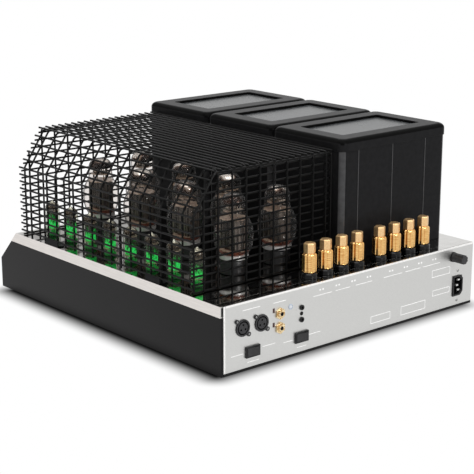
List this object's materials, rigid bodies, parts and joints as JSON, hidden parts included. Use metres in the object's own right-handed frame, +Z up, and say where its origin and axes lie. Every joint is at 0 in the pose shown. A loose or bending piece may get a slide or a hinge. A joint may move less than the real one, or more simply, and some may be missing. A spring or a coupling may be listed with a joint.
{
  "type": "tube power amplifier",
  "caption": "Stereo tube power amplifier: mirror-polished chassis, black wire cage over glowing tubes, black potted transformers, end panel of sockets and binding posts.",
  "frame": {"origin": "middle of the footprint, on the floor under the feet", "axes": "+X towards the connector panel, +Y towards the transformers, +Z up"},
  "size_m": [0.5004, 0.44, 0.2475],
  "materials": {
    "polished_steel": "mirror-polished stainless steel",
    "black_glass": "black glass plate, gloss",
    "satin_steel": "fine satin stainless steel",
    "black_steel": "black powder coat, satin",
    "black_wire": "black powder coat on steel wire, satin",
    "rubber": "matte",
    "black_paint": "black stoving enamel, semi-gloss",
    "potted_core": "laminations and windings in potting compound",
    "grey_glass": "grey back-painted glass, gloss",
    "board_laminate": "glass-fibre laminate, satin",
    "tube_glass": "clear blown glass over grey plates, gloss",
    "green_tube_glass": "clear glass, lit green from below, gloss",
    "black_plastic": "moulded black plastic, satin",
    "gold_plate": "gold plate on brass, gloss"
  },
  "bodies": {
    "chassis": {"chassis_shell": "polished_steel", "front_plate": "black_glass", "connector_panel": "satin_steel", "bottom_cover": "black_steel", "foot_1": "rubber", "foot_2": "rubber", "foot_3": "rubber", "foot_4": "rubber", "transformer_housing_1": "black_paint", "transformer_core_1": "potted_core", "transformer_top_glass_1": "grey_glass", "transformer_housing_2": "black_paint", "transformer_core_2": "potted_core", "transformer_top_glass_2": "grey_glass", "transformer_housing_3": "black_paint", "transformer_core_3": "potted_core", "transformer_top_glass_3": "grey_glass", "tube_socket_board": "board_laminate", "output_tube_1": "tube_glass", "output_tube_2": "tube_glass", "output_tube_3": "tube_glass", "output_tube_4": "tube_glass", "output_tube_5": "tube_glass", "output_tube_6": "tube_glass", "output_tube_7": "tube_glass", "output_tube_8": "tube_glass", "driver_tube_1": "green_tube_glass", "driver_tube_2": "green_tube_glass", "driver_tube_3": "green_tube_glass", "driver_tube_4": "green_tube_glass", "driver_tube_5": "green_tube_glass", "driver_tube_6": "green_tube_glass", "driver_tube_7": "green_tube_glass", "driver_tube_8": "green_tube_glass", "terminal_strip_1": "black_plastic", "terminal_strip_2": "black_plastic", "balanced_input_1": "black_plastic", "balanced_input_2": "black_plastic", "phono_jack_block": "gold_plate", "trigger_jack_block": "black_plastic", "switch_frame_1": "black_plastic", "switch_frame_2": "black_plastic", "mains_inlet": "black_plastic", "fuse_holder": "black_plastic"},
    "cage": {"cage_front_grille": "black_wire", "cage_slope_grille": "black_wire", "cage_top_grille": "black_wire", "cage_left_grille": "black_wire", "cage_right_grille": "black_wire"},
    "post_nut_1": {"post_nut_1": "gold_plate"},
    "post_nut_2": {"post_nut_2": "gold_plate"},
    "post_nut_3": {"post_nut_3": "gold_plate"},
    "post_nut_4": {"post_nut_4": "gold_plate"},
    "post_nut_5": {"post_nut_5": "gold_plate"},
    "post_nut_6": {"post_nut_6": "gold_plate"},
    "post_nut_7": {"post_nut_7": "gold_plate"},
    "post_nut_8": {"post_nut_8": "gold_plate"},
    "switch_rocker_1": {"switch_rocker_1": "black_plastic"},
    "switch_rocker_2": {"switch_rocker_2": "black_plastic"},
    "fuse_cap": {"fuse_cap": "black_plastic"}
  },
  "joints": [
    {"name": "cage_lift", "type": "slide", "parent": "chassis", "child": "cage", "axis": [0, 0, 1], "range_m": [0, 0.17]},
    {"name": "post_nut_turn_1", "type": "hinge", "parent": "chassis", "child": "post_nut_1", "pos_m": [0.2078, -0.0615, 0.0973], "axis": [0, 0, 1], "range_deg": [0, 1080]},
    {"name": "post_nut_turn_2", "type": "hinge", "parent": "chassis", "child": "post_nut_2", "pos_m": [0.2078, -0.0342, 0.0973], "axis": [0, 0, 1], "range_deg": [0, 1080]},
    {"name": "post_nut_turn_3", "type": "hinge", "parent": "chassis", "child": "post_nut_3", "pos_m": [0.2078, -0.0069, 0.0973], "axis": [0, 0, 1], "range_deg": [0, 1080]},
    {"name": "post_nut_turn_4", "type": "hinge", "parent": "chassis", "child": "post_nut_4", "pos_m": [0.2078, 0.0204, 0.0973], "axis": [0, 0, 1], "range_deg": [0, 1080]},
    {"name": "post_nut_turn_5", "type": "hinge", "parent": "chassis", "child": "post_nut_5", "pos_m": [0.2078, 0.0608, 0.0973], "axis": [0, 0, 1], "range_deg": [0, 1080]},
    {"name": "post_nut_turn_6", "type": "hinge", "parent": "chassis", "child": "post_nut_6", "pos_m": [0.2078, 0.0881, 0.0973], "axis": [0, 0, 1], "range_deg": [0, 1080]},
    {"name": "post_nut_turn_7", "type": "hinge", "parent": "chassis", "child": "post_nut_7", "pos_m": [0.2078, 0.1154, 0.0973], "axis": [0, 0, 1], "range_deg": [0, 1080]},
    {"name": "post_nut_turn_8", "type": "hinge", "parent": "chassis", "child": "post_nut_8", "pos_m": [0.2078, 0.1427, 0.0973], "axis": [0, 0, 1], "range_deg": [0, 1080]},
    {"name": "rocker_tilt_1", "type": "hinge", "parent": "chassis", "child": "switch_rocker_1", "pos_m": [0.2306, -0.1728, 0.0273], "axis": [0, 0, 1], "range_deg": [0, 16]},
    {"name": "rocker_tilt_2", "type": "hinge", "parent": "chassis", "child": "switch_rocker_2", "pos_m": [0.2306, -0.0946, 0.0273], "axis": [0, 0, 1], "range_deg": [0, 16]},
    {"name": "fuse_cap_turn", "type": "hinge", "parent": "chassis", "child": "fuse_cap", "pos_m": [0.24, 0.18, 0.0763], "axis": [1, 0, 0], "range_deg": [0, 90]}
  ]
}
